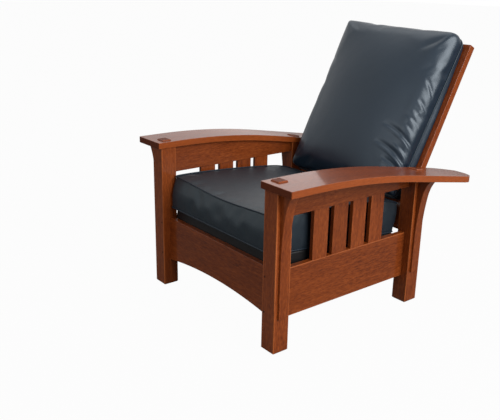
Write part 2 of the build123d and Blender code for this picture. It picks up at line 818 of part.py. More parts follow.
def make_cleat_screws():
    """The screws that hold both cleats."""
    left = []
    for x, y, z in cleat_screw_starts():
        shank = rod(screw_diameter / 2, (x, y, z), (1, 0, 0), cleat_width + screw_bite - screw_tip_gap)
        head = rod(screw_head_diameter / 2, (x - screw_head_height, y, z), (1, 0, 0), screw_head_height)
        head = fillet(head.edges().group_by(Axis.X)[0], screw_head_height / 2)
        left.append(shank + head)
    return group(left + [mirrored(screw) for screw in left])


def spring_xs():
    """The centre line of each spring."""
    return [(index - (spring_count - 1) / 2) * spring_spacing for index in range(spring_count)]


spring_z = deck_rail_top + clip_wall + spring_wire / 2 + pin_gap
spring_start = deck_rail_span[0] + deck_rail_width - clip_length
spring_end = deck_rail_span[1] - deck_rail_width + clip_length


def spring_path(x):
    """One spring's line: straight runs across, joined by half turns, from front to rear."""
    turn_radius = (spring_end - spring_start) / spring_turns / 2
    edges = []
    side = 1
    y = spring_start
    edges.append(Line((x - side * spring_half_width, y, spring_z), (x + side * spring_half_width, y, spring_z)))
    for _ in range(spring_turns):
        end_x = x + side * spring_half_width
        bulge = (end_x + side * turn_radius, y + turn_radius, spring_z)
        edges.append(ThreePointArc((end_x, y, spring_z), bulge, (end_x, y + 2 * turn_radius, spring_z)))
        y += 2 * turn_radius
        edges.append(Line((end_x, y, spring_z), (x - side * spring_half_width, y, spring_z)))
        side = -side
    return Wire(edges)


def make_springs():
    """The sinuous springs of the deck, front rail to rear rail."""
    springs = []
    for x in spring_xs():
        start = (x - spring_half_width, spring_start, spring_z)
        section = Plane(origin=start, z_dir=(1, 0, 0)) * Circle(spring_wire / 2)
        springs.append(deck_frame * sweep(section, path=spring_path(x)))
    return group(springs)


def make_spring_clips():
    """The steel clip that holds each end of each spring."""
    half_height = spring_wire / 2 + clip_wall + pin_gap
    bore = spring_wire / 2 + pin_gap
    clips = []
    for x in spring_xs():
        for y in (spring_start, spring_end):
            body = block(
                (x - clip_width / 2, x + clip_width / 2),
                (y - clip_length / 2, y + clip_length / 2),
                (spring_z - half_height, spring_z + half_height),
            )
            body = eased(body, half_height / 2, Axis.X)
            body -= rod(bore, (x - clip_width, y, spring_z), (1, 0, 0), 2 * clip_width)
            clips.append(deck_frame * body)
    return group(clips)


def cushion_section(plane, corners, arcs):
    """A closed section through corner points, with each side an arc through its middle point."""
    with BuildSketch(plane) as face:
        with BuildLine():
            for index, corner in enumerate(corners):
                following = corners[(index + 1) % len(corners)]
                middle = arcs[index]
                if middle is None:
                    Line(corner, following)
                else:
                    ThreePointArc(corner, middle, following)
        make_face()
    return face.sketch


def round_loss(distance, radius):
    """How far a rounded edge falls back at a distance from the end it rounds."""
    if distance >= radius:
        return 0.0
    return radius - math.sqrt(radius ** 2 - (radius - distance) ** 2)


def crown_share(share, power):
    """The share of the full crown at a share of the length."""
    return math.sin(math.pi * min(max(share, 0.004), 0.996)) ** power


# Where along its length each cushion's cross-sections are drawn
cushion_section_shares = (
    0.0, 0.005, 0.02, 0.045, 0.08, 0.13, 0.2, 0.3, 0.42, 0.55, 0.68, 0.79, 0.87, 0.925, 0.96, 0.985, 0.996, 1.0
)


def seat_section(share, inset):
    """A cross-section of the seat cushion at a share of its length, drawn in by an inset."""
    crown = crown_share(share, seat_crown_power)
    end_loss = round_loss(min(share, 1 - share) * seat_length, seat_end_round)
    fall_start = seat_length - seat_rear_fall_length
    fall_share = max(share * seat_length - fall_start, 0) / seat_rear_fall_length
    half = seat_corner_half_width - seat_side_draw * crown - inset - end_loss
    low = rest_gap + inset
    band_top = seat_band_height - seat_rear_fall * fall_share ** 2 - inset - end_loss
    shoulder_x = half - seat_shoulder_width
    shoulder_z = band_top + seat_shoulder_rise * crown
    shoulder_middle = (half - seat_shoulder_width / 4, band_top + seat_shoulder_rise * crown * 0.7)
    bulge_middle = (half + seat_band_bulge, (low + band_top) / 2)
    corners = [
        (-half, low),
        (half, low),
        (half, band_top),
        (shoulder_x, shoulder_z),
        (-shoulder_x, shoulder_z),
        (-half, band_top),
    ]
    arcs = [
        None,
        bulge_middle,
        shoulder_middle,
        (0, band_top + seat_crown * crown),
        (-shoulder_middle[0], shoulder_middle[1]),
        (-bulge_middle[0], bulge_middle[1]),
    ]
    y = inset + (seat_length - 2 * inset) * share
    plane = Plane(origin=(0, y, 0), x_dir=(1, 0, 0), z_dir=(0, -1, 0))
    return cushion_section(plane, corners, arcs)


def seat_place():
    """Where the seat cushion's own frame lies on the deck."""
    along = (seat_front_y - deck_front_y) / deck_slope_cosine
    return deck_frame * Pos(0, along, 0)


def seat_solid(inset):
    """The seat cushion's full form, flat underneath, drawn in by an inset."""
    return loft([seat_section(share, inset) for share in cushion_section_shares])


def back_section(share, inset):
    """A cross-section of the back cushion at a share of its height, drawn in by an inset."""
    length = cushion_end - cushion_start
    from_low = share * length
    from_high = length - from_low
    end_loss = round_loss(min(from_low, from_high), cushion_corner_round)
    depth_loss = round_loss(from_low, cushion_low_round) + round_loss(from_high, cushion_high_round)
    rear = -stile_depth / 2 - rest_gap
    seam = rear - cushion_band
    front = rear - cushion_edge_depth + depth_loss + inset
    rear_half = cushion_rear_half_width - end_loss - inset
    bulge = cushion_bulge_half_width - end_loss - inset
    roll_x = bulge - cushion_roll
    roll_middle = (bulge, (seam + front) / 2)
    crown = cushion_crown * crown_share(share, cushion_crown_power)
    corners = [
        (-rear_half, rear - inset),
        (-rear_half, seam),
        (-roll_x, front),
        (roll_x, front),
        (rear_half, seam),
        (rear_half, rear - inset),
    ]
    arcs = [
        None,
        (-roll_middle[0], roll_middle[1]),
        (0, front - crown),
        roll_middle,
        None,
        None,
    ]
    s = cushion_start + inset + (length - 2 * inset) * share
    return cushion_section(Plane.XY.offset(s), corners, arcs)


def back_cushion_solid(inset):
    """The back cushion's full form, drawn in by an inset."""
    return loft([back_section(share, inset) for share in cushion_section_shares])


def cover_and_core(solid_of, place):
    """A cushion's leather cover and the foam core inside it."""
    cover = solid_of(0) - solid_of(cover_thickness)
    core = solid_of(cover_thickness + rest_gap)
    return place * cover, place * core


def build_nodes():
    """Every named piece of the chair."""
    nodes = {}

    def add_pair(name, left_piece):
        nodes["left_" + name] = left_piece
        nodes["right_" + name] = mirrored(left_piece)

    add_pair("front_post", make_post(front_post_y, True))
    add_pair("rear_post", make_post(rear_post_y, False))
    nodes["front_rail"] = make_cross_rail(True)
    nodes["rear_rail"] = make_cross_rail(False)
    add_pair("lower_side_rail", make_side_rail(False))
    add_pair("upper_side_rail", make_side_rail(True))
    for number, y_range in enumerate(slat_y_ranges(), start=1):
        add_pair("side_slat_" + str(number), make_slat(y_range))
    add_pair("arm", make_arm())
    add_pair("front_corbel", make_corbel(front_post_y))
    add_pair("rear_corbel", make_corbel(rear_post_y))
    nodes["corbel_dowels"] = make_corbel_dowels()
    nodes["tenon_pegs"] = make_tenon_pegs()
    nodes["foot_glides"] = make_foot_glides()

    add_pair("back_stile", make_stile())
    members = back_member_ranges()
    nodes["back_bottom_rail"] = make_back_member(members["bottom"])
    for number, s_range in enumerate(members["slats"], start=1):
        nodes["back_slat_" + str(number)] = make_back_member(s_range)
    nodes["crest_rail"] = make_back_member(members["crest"])
    add_pair("hinge_pin", make_hinge_pin())
    add_pair("hinge_spacer", make_spacer())
    add_pair("support_peg", make_support_peg())

    nodes["deck_cover"] = make_deck_cover()
    nodes["deck_pad"] = make_deck_pad()
    nodes["deck_front_rail"] = make_deck_rail("front")
    nodes["deck_rear_rail"] = make_deck_rail("rear")
    add_pair("deck_side_rail", make_deck_rail("side"))
    nodes["deck_dust_cover"] = make_dust_cover()
    nodes["deck_springs"] = make_springs()
    nodes["spring_clips"] = make_spring_clips()
    add_pair("deck_cleat", make_cleat())
    nodes["cleat_screws"] = make_cleat_screws()

    nodes["seat_cushion_cover"], nodes["seat_cushion_core"] = cover_and_core(seat_solid, seat_place())
    covers = cover_and_core(back_cushion_solid, back_frame)
    nodes["back_cushion_cover"], nodes["back_cushion_core"] = covers
    return nodes


def main():
    """Write one file per piece, with the origin moved under the middle of the chair."""
    os.makedirs("parts", exist_ok=True)
    nodes = build_nodes()
    rear_reach = nodes["left_back_stile"].bounding_box().max.Y
    to_origin = Pos(0, -(rear_reach + arm_front_y) / 2, 0)
    print("front post face is at y =", round(to_origin.position.Y, 3))
    for name, shape in nodes.items():
        export_step(to_origin * shape, "parts/" + name + ".step")
    for position, (y, z) in peg_places().items():
        print("peg hole", position, "at y, z =", round(y + to_origin.position.Y, 3), round(z, 3))
    print("hinge axis at y, z =", round(rear_post_y + to_origin.position.Y, 3), pivot_height)


if __name__ == "__main__":
    main()
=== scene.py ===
"""A mission reclining armchair in stained oak and black leather, on a white studio floor."""
import json
import math

import bmesh
import bpy
from mathutils import Matrix, Vector


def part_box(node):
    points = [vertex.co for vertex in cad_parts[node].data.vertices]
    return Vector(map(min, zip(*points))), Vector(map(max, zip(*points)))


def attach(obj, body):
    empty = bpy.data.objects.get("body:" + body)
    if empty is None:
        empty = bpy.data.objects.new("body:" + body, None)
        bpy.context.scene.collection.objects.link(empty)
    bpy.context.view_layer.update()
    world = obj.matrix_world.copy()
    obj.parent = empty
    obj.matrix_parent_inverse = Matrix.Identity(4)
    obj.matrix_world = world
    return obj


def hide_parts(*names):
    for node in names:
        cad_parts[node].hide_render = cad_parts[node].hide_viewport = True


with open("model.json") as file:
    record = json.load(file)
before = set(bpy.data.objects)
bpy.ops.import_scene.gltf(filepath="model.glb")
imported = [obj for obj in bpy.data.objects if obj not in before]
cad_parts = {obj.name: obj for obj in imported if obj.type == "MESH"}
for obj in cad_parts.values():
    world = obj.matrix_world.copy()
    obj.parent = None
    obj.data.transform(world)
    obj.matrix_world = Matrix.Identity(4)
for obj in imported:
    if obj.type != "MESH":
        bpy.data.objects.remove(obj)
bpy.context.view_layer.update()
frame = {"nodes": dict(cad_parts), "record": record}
nodes = frame["nodes"]

# Places shared with the CAD source, in metres
FRONT_POST_FACE = -0.508098
HINGE = Vector((0.0, 0.185152, 0.313))
RECLINE = math.radians(27.0)
DECK_SLOPE = math.radians(4.6)
DECK_FRONT = Vector((0.0, FRONT_POST_FACE + 0.0571906, 0.325))
deck_place = Matrix.Translation(DECK_FRONT) @ Matrix.Rotation(-DECK_SLOPE, 4, "X")
back_place = Matrix.Translation(HINGE) @ Matrix.Rotation(-RECLINE, 4, "X")


# Shader expressions

class Strand:
    """A shader socket that adds Math nodes when it is used in arithmetic."""

    def __init__(self, tree, socket):
        self.tree = tree
        self.socket = socket

    def combined(self, operation, first, second):
        math_node = self.tree.nodes.new("ShaderNodeMath")
        math_node.operation = operation
        for index, value in enumerate((first, second)):
            if isinstance(value, Strand):
                self.tree.links.new(value.socket, math_node.inputs[index])
            else:
                math_node.inputs[index].default_value = value
        return Strand(self.tree, math_node.outputs[0])

    def __add__(self, other):
        return self.combined("ADD", self, other)

    def __radd__(self, other):
        return self.combined("ADD", other, self)

    def __sub__(self, other):
        return self.combined("SUBTRACT", self, other)

    def __rsub__(self, other):
        return self.combined("SUBTRACT", other, self)

    def __mul__(self, other):
        return self.combined("MULTIPLY", self, other)

    def __rmul__(self, other):
        return self.combined("MULTIPLY", other, self)

    def larger(self, other):
        return self.combined("MAXIMUM", self, other)

    def size(self):
        return self.combined("ABSOLUTE", self, 0.0)


# Outputs of the Texture Coordinate node
NORMAL = 1
OBJECT = 3


class Finish:
    """A material under construction, with one method that adds any node."""

    def __init__(self, name):
        self.material = bpy.data.materials.new(name)
        self.material.use_nodes = True
        self.tree = self.material.node_tree
        self.tree.nodes.clear()

    def add(self, kind, settings=None, output=0, **inputs):
        """Adds a node; its settings are set first, then the values or links of its sockets."""
        node = self.tree.nodes.new(kind)
        stops = None
        for key, value in (settings or {}).items():
            if key == "stops":
                stops = value
            else:
                setattr(node, key, value)
        if stops:
            ramp = node.color_ramp
            while len(ramp.elements) < len(stops):
                ramp.elements.new(0.5)
            for element, (position, colour) in zip(ramp.elements, stops):
                element.position = position
                element.color = (*colour, 1.0)
        for key, value in inputs.items():
            socket = self.socket_named(node, key)
            if isinstance(value, Strand):
                self.tree.links.new(value.socket, socket)
            else:
                socket.default_value = value
        if not node.outputs:
            return None
        return Strand(self.tree, node.outputs[output])

    @staticmethod
    def socket_named(node, key):
        """The input called key, or input_N by its number where a name occurs twice."""
        if key.startswith("input_"):
            return node.inputs[int(key[6:])]
        wanted = key.replace("_", " ").lower()
        return next(socket for socket in node.inputs if socket.name.lower() == wanted)

    def blend(self, factor, first, second):
        """Mixes two colours."""
        mixed = self.tree.nodes.new("ShaderNodeMix")
        mixed.data_type = "RGBA"
        colours = [socket for socket in mixed.inputs if socket.type == "RGBA"]
        sockets = (mixed.inputs[0], colours[0], colours[1])
        for socket, value in zip(sockets, (factor, first, second)):
            if isinstance(value, Strand):
                self.tree.links.new(value.socket, socket)
            elif isinstance(value, tuple):
                socket.default_value = (*value, 1.0)
            else:
                socket.default_value = value
        outputs = [socket for socket in mixed.outputs if socket.type == "RGBA"]
        return Strand(self.tree, outputs[0])

    def done(self, surface):
        self.add("ShaderNodeOutputMaterial", Surface=surface)
        return self.material

    def coordinates(self, kind):
        return self.add("ShaderNodeTexCoord", output=kind)

    def ranged(self, value, low, high, at_low, at_high):
        """Maps a value from one range to another and holds it there."""
        return self.add(
            "ShaderNodeMapRange",
            Value=value, From_Min=low, From_Max=high, To_Min=at_low, To_Max=at_high,
        )

    def facing_along(self, direction):
        """How far the surface looks along a direction, either way."""
        return self.add(
            "ShaderNodeVectorMath", {"operation": "DOT_PRODUCT"}, 1,
            input_0=self.coordinates(NORMAL), input_1=direction,
        ).size()


def shade_of(colour, share):
    return tuple(share * channel for channel in colour)


# Stained oak

GRAIN_TURNS = {
    "upright": (0.0, 0.0, 0.0),
    "across": (0.0, -math.pi / 2, 0.0),
    "front_to_back": (math.pi / 2, 0.0, 0.0),
    "reclined": (RECLINE, 0.0, 0.0),
}
GRAIN_DIRECTIONS = {
    "upright": (0.0, 0.0, 1.0),
    "across": (1.0, 0.0, 0.0),
    "front_to_back": (0.0, 1.0, 0.0),
    "reclined": (0.0, math.sin(RECLINE), math.cos(RECLINE)),
}
# The two axes across the grain of a straight board
CROSS_AXES = {"upright": (0, 1), "front_to_back": (0, 2)}

# How far each board's cut is moved through the grain from the one before it
BOARD_STEP = (0.37, 0.61, 0.23)
CATHEDRAL_LENGTHENING = 0.07
FLECK_LENGTHENING = 0.20
PORE_LENGTHENING = 0.025

# Place on the ramp, then the colour of the stain there
OAK_STAIN = (
    (0.34, (0.064, 0.0114, 0.0022)),
    (0.44, (0.130, 0.0258, 0.0046)),
    (0.54, (0.188, 0.0404, 0.0074)),
    (0.66, (0.276, 0.0660, 0.0132)),
)
PORE_COLOUR = (0.036, 0.0070, 0.0018)
CLOUD_COLOUR = (0.118, 0.0200, 0.0032)
# Painted light: the colour that the arms' side faces are painted lighter towards, as if lit from
# the side
SIDE_LIGHT_COLOUR = (0.320, 0.0720, 0.0140)
# Wear and painted highlight: the colour that long edges are lightened towards
EDGE_WEAR_AND_HIGHLIGHT_COLOUR = (0.400, 0.1100, 0.0280)
END_GRAIN_COLOUR = (0.050, 0.0098, 0.0030)
PORE_STRENGTH = 0.42
CLOUD_STRENGTH = 0.30
END_GRAIN_STRENGTH = 0.72
# How much lighter the arms' side faces are painted, as painted light
ARM_SIDE_LIGHT = 0.36
OAK_COAT = 0.42
# How deep from a long edge the wood is lightened fully, for wear and a painted highlight, and where
# that ends
EDGE_LIGHT_FULL_DEPTH = 0.0008
EDGE_LIGHT_END_DEPTH = 0.0048


def worn_and_highlit_edges(finish, place, direction, box):
    """How much the long edges of a straight board are lightened, partly for wear and partly as a
    painted highlight, from its box.
    """
    depths = []
    for axis in CROSS_AXES[direction]:
        middle = (box[0][axis] + box[1][axis]) / 2
        half = (box[1][axis] - box[0][axis]) / 2
        across = finish.add("ShaderNodeSeparateXYZ", output=axis, Vector=place)
        depths.append(half - (across - middle).size())
    return finish.ranged(depths[0].larger(depths[1]), EDGE_LIGHT_FULL_DEPTH, EDGE_LIGHT_END_DEPTH, 1.0, 0.0)


def stained_oak(name, direction, board, tone, side_light_share, straight_box):
    """Reddish-brown stained oak with its grain along one direction; board picks the cut.

    side_light_share is how much lighter the faces are painted that look sideways, along X, as
    painted light, and straight_box is the box of a straight board, whose long edges are lightened,
    partly for wear and partly as a painted highlight, or None.
    """
    finish = Finish(name)
    place = finish.coordinates(OBJECT)
    turned = finish.add(
        "ShaderNodeMapping",
        Vector=place,
        Rotation=GRAIN_TURNS[direction],
        Location=tuple(step * board for step in BOARD_STEP),
    )
    drawn_out = finish.add(
        "ShaderNodeMapping", Vector=turned, Scale=(1.0, 1.0, CATHEDRAL_LENGTHENING)
    )
    cathedral = finish.add(
        "ShaderNodeTexNoise",
        Vector=drawn_out, Scale=9.0, Detail=3.0, Roughness=0.55, Distortion=0.6,
    )
    streaks = finish.add(
        "ShaderNodeTexNoise",
        Vector=drawn_out, Scale=130.0, Detail=5.0, Roughness=0.62, Distortion=0.35,
    )
    dashes = finish.add("ShaderNodeMapping", Vector=turned, Scale=(1.0, 1.0, FLECK_LENGTHENING))
    flecks = finish.add("ShaderNodeTexNoise", Vector=dashes, Scale=260.0, Detail=2.0, Roughness=0.6)
    hair = finish.add("ShaderNodeMapping", Vector=turned, Scale=(1.0, 1.0, PORE_LENGTHENING))
    pores = finish.add("ShaderNodeTexNoise", Vector=hair, Scale=620.0, Detail=2.0, Roughness=0.6)
    patches = finish.add("ShaderNodeTexNoise", Vector=turned, Scale=3.2, Detail=2.0, Roughness=0.5)

    figure = cathedral * 0.28 + streaks * 0.28 + flecks * 0.44
    stain = finish.add(
        "ShaderNodeValToRGB",
        {"stops": [(at, shade_of(colour, tone)) for at, colour in OAK_STAIN]},
        Fac=figure,
    )
    pore_depth = finish.ranged(pores, 0.60, 0.74, 0.0, 1.0)
    shaded = finish.blend(pore_depth * PORE_STRENGTH, stain, PORE_COLOUR)
    cloudy = finish.ranged(patches, 0.30, 0.70, 0.0, CLOUD_STRENGTH)
    shaded = finish.blend(cloudy, shaded, shade_of(CLOUD_COLOUR, tone))

    # Painted light: faces that look along X are painted lighter, where the side light falls
    if side_light_share:
        painted_side_light = finish.ranged(finish.facing_along((1.0, 0.0, 0.0)), 0.75, 0.95, 0.0, side_light_share)
        shaded = finish.blend(painted_side_light, shaded, SIDE_LIGHT_COLOUR)
    # Long edges are painted lighter, partly as wear and partly as a painted highlight on the
    # rounded arris
    if straight_box:
        edge_wear_and_highlight = worn_and_highlit_edges(finish, place, direction, straight_box) * (patches * 1.7 - 0.28)
        shaded = finish.blend(edge_wear_and_highlight, shaded, shade_of(EDGE_WEAR_AND_HIGHLIGHT_COLOUR, tone))
    along = finish.facing_along(GRAIN_DIRECTIONS[direction])
    end_grain = finish.ranged(along, 0.80, 0.97, 0.0, END_GRAIN_STRENGTH)
    coloured = finish.blend(end_grain, shaded, END_GRAIN_COLOUR)

    bump = finish.add(
        "ShaderNodeBump", Strength=0.16, Distance=0.0006, Height=streaks * 0.5 - pore_depth * 0.8
    )
    gloss = 0.32 + streaks * 0.10 + pore_depth * 0.16 + end_grain * 0.30
    surface = finish.add(
        "ShaderNodeBsdfPrincipled",
        Base_Color=coloured,
        Roughness=gloss,
        Specular_IOR_Level=0.13,
        Coat_Weight=OAK_COAT - end_grain * 0.54,
        Coat_Roughness=0.10,
        Normal=bump,
    )
    return finish.done(surface)


def grain_direction(name):
    """Which way the grain of a wooden piece runs."""
    if "stile" in name:
        return "reclined"
    if "side_rail" in name or name.endswith("_arm") or "cleat" in name:
        return "front_to_back"
    if "back_slat" in name or name in ("front_rail", "rear_rail", "crest_rail", "back_bottom_rail"):
        return "across"
    if "peg" in name or "dowel" in name or "deck_front" in name or "deck_rear" in name:
        return "across"
    return "upright"


# How light the boards are that follow one another
TONES = (1.0, 1.06, 0.95, 1.03, 0.98, 1.08, 0.93)
# Boards made darker than the rest, partly stain that took darker and partly painted shade on boards
# that stand in shadow
BOARD_TONES_AND_SHADE = {
    "front_rail": 0.92,
    "left_rear_post": 0.87,
    "right_rear_post": 0.90,
    "right_front_post": 0.91,
    "left_side_slat_2": 0.84,
    "left_side_slat_4": 0.96,
    "left_arm": 0.96,
    "left_upper_side_rail": 0.84,
    "right_upper_side_rail": 0.90,
    "left_rear_corbel": 0.84,
}


def dress(mesh, material):
    """Gives a mesh one material in place of any it has."""
    mesh.materials.clear()
    mesh.materials.append(material)


def finish_wood():
    """Gives every wooden CAD piece its own board of oak."""
    board = 0
    for entry in frame["record"]["subparts"]:
        name, slot_name = entry["node"], entry["material_slot"]
        if slot_name != "stained_oak":
            continue
        board += 1
        # A board's tone holds painted shade for the darkened boards listed above
        tone = TONES[board % len(TONES)] * BOARD_TONES_AND_SHADE.get(name, 1.0)
        # The arms' side faces are painted lighter, as painted light
        side_light_share = ARM_SIDE_LIGHT if name.endswith("_arm") else 0.0
        # Posts and lower side rails get long edges lightened for wear and as a painted highlight
        straight = name.endswith(("_post", "lower_side_rail"))
        box = [list(corner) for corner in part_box(name)] if straight else None
        oak = stained_oak("oak_" + name, grain_direction(name), board, tone, side_light_share, box)
        dress(nodes[name].data, oak)


# Plain finishes

def plain_wood(name, colour, roughness=0.6, glint=0.5):
    """Plain wood with faint lines across it; glint is the strength of its gloss."""
    finish = Finish(name)
    place = finish.coordinates(OBJECT)
    drawn_out = finish.add("ShaderNodeMapping", Vector=place, Scale=(0.1, 1.0, 1.0))
    lines = finish.add("ShaderNodeTexNoise", Vector=drawn_out, Scale=160.0, Detail=3.0)
    coloured = finish.blend(lines, colour, shade_of(colour, 0.62))
    bump = finish.add("ShaderNodeBump", Strength=0.1, Distance=0.0004, Height=lines)
    return finish.done(finish.add(
        "ShaderNodeBsdfPrincipled",
        Base_Color=coloured,
        Roughness=roughness,
        Specular_IOR_Level=glint,
        Normal=bump,
    ))


def plain_metal(name, colour, roughness):
    """Metal with fine scratches."""
    finish = Finish(name)
    place = finish.coordinates(OBJECT)
    scratches = finish.add("ShaderNodeTexNoise", Vector=place, Scale=900.0, Detail=2.0)
    coloured = finish.blend(scratches * 0.4, colour, shade_of(colour, 0.6))
    return finish.done(finish.add(
        "ShaderNodeBsdfPrincipled",
        Base_Color=coloured,
        Metallic=1.0,
        Roughness=roughness + scratches * 0.12,
    ))


def plain_matt(name, colour, roughness=0.9, weave=1400.0):
    """Foam, cloth or plastic; a larger weave is finer."""
    finish = Finish(name)
    place = finish.coordinates(OBJECT)
    fibres = finish.add("ShaderNodeTexNoise", Vector=place, Scale=weave, Detail=2.0)
    coloured = finish.blend(fibres, colour, shade_of(colour, 0.7))
    bump = finish.add("ShaderNodeBump", Strength=0.3, Distance=0.0004, Height=fibres)
    return finish.done(finish.add(
        "ShaderNodeBsdfPrincipled", Base_Color=coloured, Roughness=roughness, Normal=bump
    ))


def finish_small_pieces():
    """Materials for every CAD piece that isn't oak."""
    makers = {
        "dark_peg_wood": lambda: plain_wood("dark_pegs", (0.040, 0.011, 0.005), 0.5, 0.12),
        "hardwood": lambda: plain_wood("bare_hardwood", (0.42, 0.26, 0.12)),
        "beech": lambda: plain_wood("beech", (0.52, 0.33, 0.17)),
        "foam": lambda: plain_matt("foam", (0.72, 0.64, 0.38)),
        "cotton_felt": lambda: plain_matt("cotton_felt", (0.62, 0.57, 0.48), weave=500.0),
        "dust_cloth": lambda: plain_matt("dust_cloth", (0.015, 0.015, 0.016)),
        "zinc_steel": lambda: plain_metal("zinc_steel", (0.55, 0.56, 0.58), 0.35),
        "dark_steel": lambda: plain_metal("dark_steel", (0.10, 0.09, 0.08), 0.38),
        "nickel_steel": lambda: plain_metal("nickel_steel", (0.60, 0.57, 0.52), 0.25),
        "nylon": lambda: plain_matt("nylon", (0.03, 0.022, 0.018), 0.5),
        "leather": deck_leather_painted_dark,
    }
    made = {}
    for entry in frame["record"]["subparts"]:
        slot_name = entry["material_slot"]
        if slot_name == "stained_oak":
            continue
        if slot_name not in made:
            made[slot_name] = makers[slot_name]()
        dress(nodes[entry["node"]].data, made[slot_name])


# Leather

# The two colours that each leather drifts between, and the colours of their gloss
BACK_DYE = ((0.0030, 0.0080, 0.0155), (0.0065, 0.0140, 0.0250))
SEAT_DYE = ((0.0030, 0.0060, 0.0100), (0.0060, 0.0100, 0.0155))
WELT_DYE = ((0.0035, 0.007, 0.012), (0.008, 0.013, 0.021))
# The deck's leather is painted near black: black leather with painted shade from the cushion above
DECK_DYE_AND_SHADE = ((0.002, 0.002, 0.0025), (0.006, 0.006, 0.006))
BACK_SHEEN = (0.84, 0.93, 1.0)
SEAT_SHEEN = (0.80, 0.95, 1.0)
WELT_SHEEN = (0.82, 0.93, 1.0)


def black_leather(name, dull, uneven, glint, dye, sheen):
    """Smooth blue-black leather with a fine pebble.

    dull adds roughness, uneven deepens the dents, glint is the strength of its gloss and sheen
    the colour of that, and dye holds the two colours that it drifts between.
    """
    finish = Finish(name)
    place = finish.coordinates(OBJECT)
    broad = finish.add("ShaderNodeTexNoise", Vector=place, Scale=5.0, Detail=3.0, Roughness=0.55)
    soft = finish.add("ShaderNodeTexNoise", Vector=place, Scale=28.0, Detail=3.0, Roughness=0.5)
    pebble = finish.add("ShaderNodeTexVoronoi", Vector=place, Scale=720.0)
    crackle = finish.add("ShaderNodeTexNoise", Vector=place, Scale=380.0, Detail=3.0, Roughness=0.6)
    colour = finish.blend(broad, *dye)
    height = pebble * 0.35 + crackle * 0.5
    grain = finish.add("ShaderNodeBump", Strength=0.16, Distance=0.0003, Height=height)
    dents = finish.add(
        "ShaderNodeBump", Strength=uneven, Distance=0.004, Height=soft * 0.5 + broad, Normal=grain
    )
    roughness = dull + soft * 0.10 + crackle * 0.05
    return finish.done(finish.add(
        "ShaderNodeBsdfPrincipled",
        Base_Color=colour,
        Roughness=roughness,
        Specular_IOR_Level=glint,
        Specular_Tint=(*sheen, 1.0),
        Normal=dents,
    ))


def welt_leather():
    """The same leather, a little darker, on the cords of the seams."""
    finish = Finish("welt_leather")
    place = finish.coordinates(OBJECT)
    crackle = finish.add("ShaderNodeTexNoise", Vector=place, Scale=420.0, Detail=3.0)
    colour = finish.blend(crackle, *WELT_DYE)
    grain = finish.add("ShaderNodeBump", Strength=0.2, Distance=0.0003, Height=crackle)
    return finish.done(finish.add(
        "ShaderNodeBsdfPrincipled",
        Base_Color=colour,
        Roughness=0.40 + crackle * 0.1,
        Specular_IOR_Level=0.34,
        Specular_Tint=(*WELT_SHEEN, 1.0),
        Normal=grain,
    ))


def deck_leather_painted_dark():
    """Plain dark leather over the sprung deck, painted darker still as painted shade, since it lies
    in the shade of the cushion.
    """
    finish = Finish("deck_leather_painted_dark")
    place = finish.coordinates(OBJECT)
    crackle = finish.add("ShaderNodeTexNoise", Vector=place, Scale=420.0, Detail=3.0)
    # Painted shade: the colour is kept near black for the shade under the cushion
    colour = finish.blend(crackle, *DECK_DYE_AND_SHADE)
    grain = finish.add("ShaderNodeBump", Strength=0.2, Distance=0.0003, Height=crackle)
    return finish.done(finish.add(
        "ShaderNodeBsdfPrincipled",
        Base_Color=colour,
        Roughness=0.42,
        Specular_IOR_Level=0.3,
        Normal=grain,
    ))


back_leather = black_leather("back_leather", 0.29, 0.20, 0.46, BACK_DYE, BACK_SHEEN)
seat_leather = black_leather("seat_leather", 0.40, 0.09, 0.52, SEAT_DYE, SEAT_SHEEN)
piping = welt_leather()


# Cushions

# Points closer than this to a face of a plain block lie on it
CLOSE = 1e-5
CELL = 0.0122
WELT_RADIUS = 0.0030


def link(name, data):
    piece = bpy.data.objects.new(name, data)
    bpy.context.scene.collection.objects.link(piece)
    return piece


def evaluated_mesh(piece):
    """A new mesh of a piece with its modifiers applied."""
    bpy.context.view_layer.update()
    depsgraph = bpy.context.evaluated_depsgraph_get()
    return bpy.data.meshes.new_from_object(piece.evaluated_get(depsgraph))


def smooth_faces(mesh):
    mesh.polygons.foreach_set("use_smooth", [True] * len(mesh.polygons))


def between(table, position):
    """Reads a table of (position, values...) rows, with even steps from row to row."""
    for first, second in zip(table, table[1:]):
        if position <= second[0]:
            share = max(0.0, (position - first[0]) / (second[0] - first[0]))
            return [low + (high - low) * share for low, high in zip(first[1:], second[1:])]
    return list(table[-1][1:])


def gridded_block(half_width, length, levels):
    """A closed block from y 0 to length, cut at each level of its height and into a grid."""
    block = bmesh.new()
    bmesh.ops.create_cube(block, size=1.0)
    height = levels[-1]
    bmesh.ops.transform(
        block,
        matrix=Matrix.Translation((0.0, length / 2, height / 2))
        @ Matrix.Diagonal((2 * half_width, length, height, 1.0)),
        verts=block.verts,
    )
    columns, rows = round(2 * half_width / CELL), round(length / CELL)
    across = [half_width * (2 * index / columns - 1) for index in range(1, columns)]
    cuts = [((1.0, 0.0, 0.0), at) for at in across]
    cuts += [((0.0, 1.0, 0.0), length * index / rows) for index in range(1, rows)]
    cuts += [((0.0, 0.0, 1.0), level) for level in levels[1:-1]]
    for normal, at in cuts:
        bmesh.ops.bisect_plane(
            block,
            geom=block.verts[:] + block.edges[:] + block.faces[:],
            plane_co=[at * axis for axis in normal],
            plane_no=normal,
            dist=1e-6,
        )
    return block


def on_side(point, half_width, length):
    """Whether a point of a gridded block lies on one of its four sides."""
    return abs(abs(point.x) - half_width) < CLOSE or min(point.y, length - point.y) < CLOSE


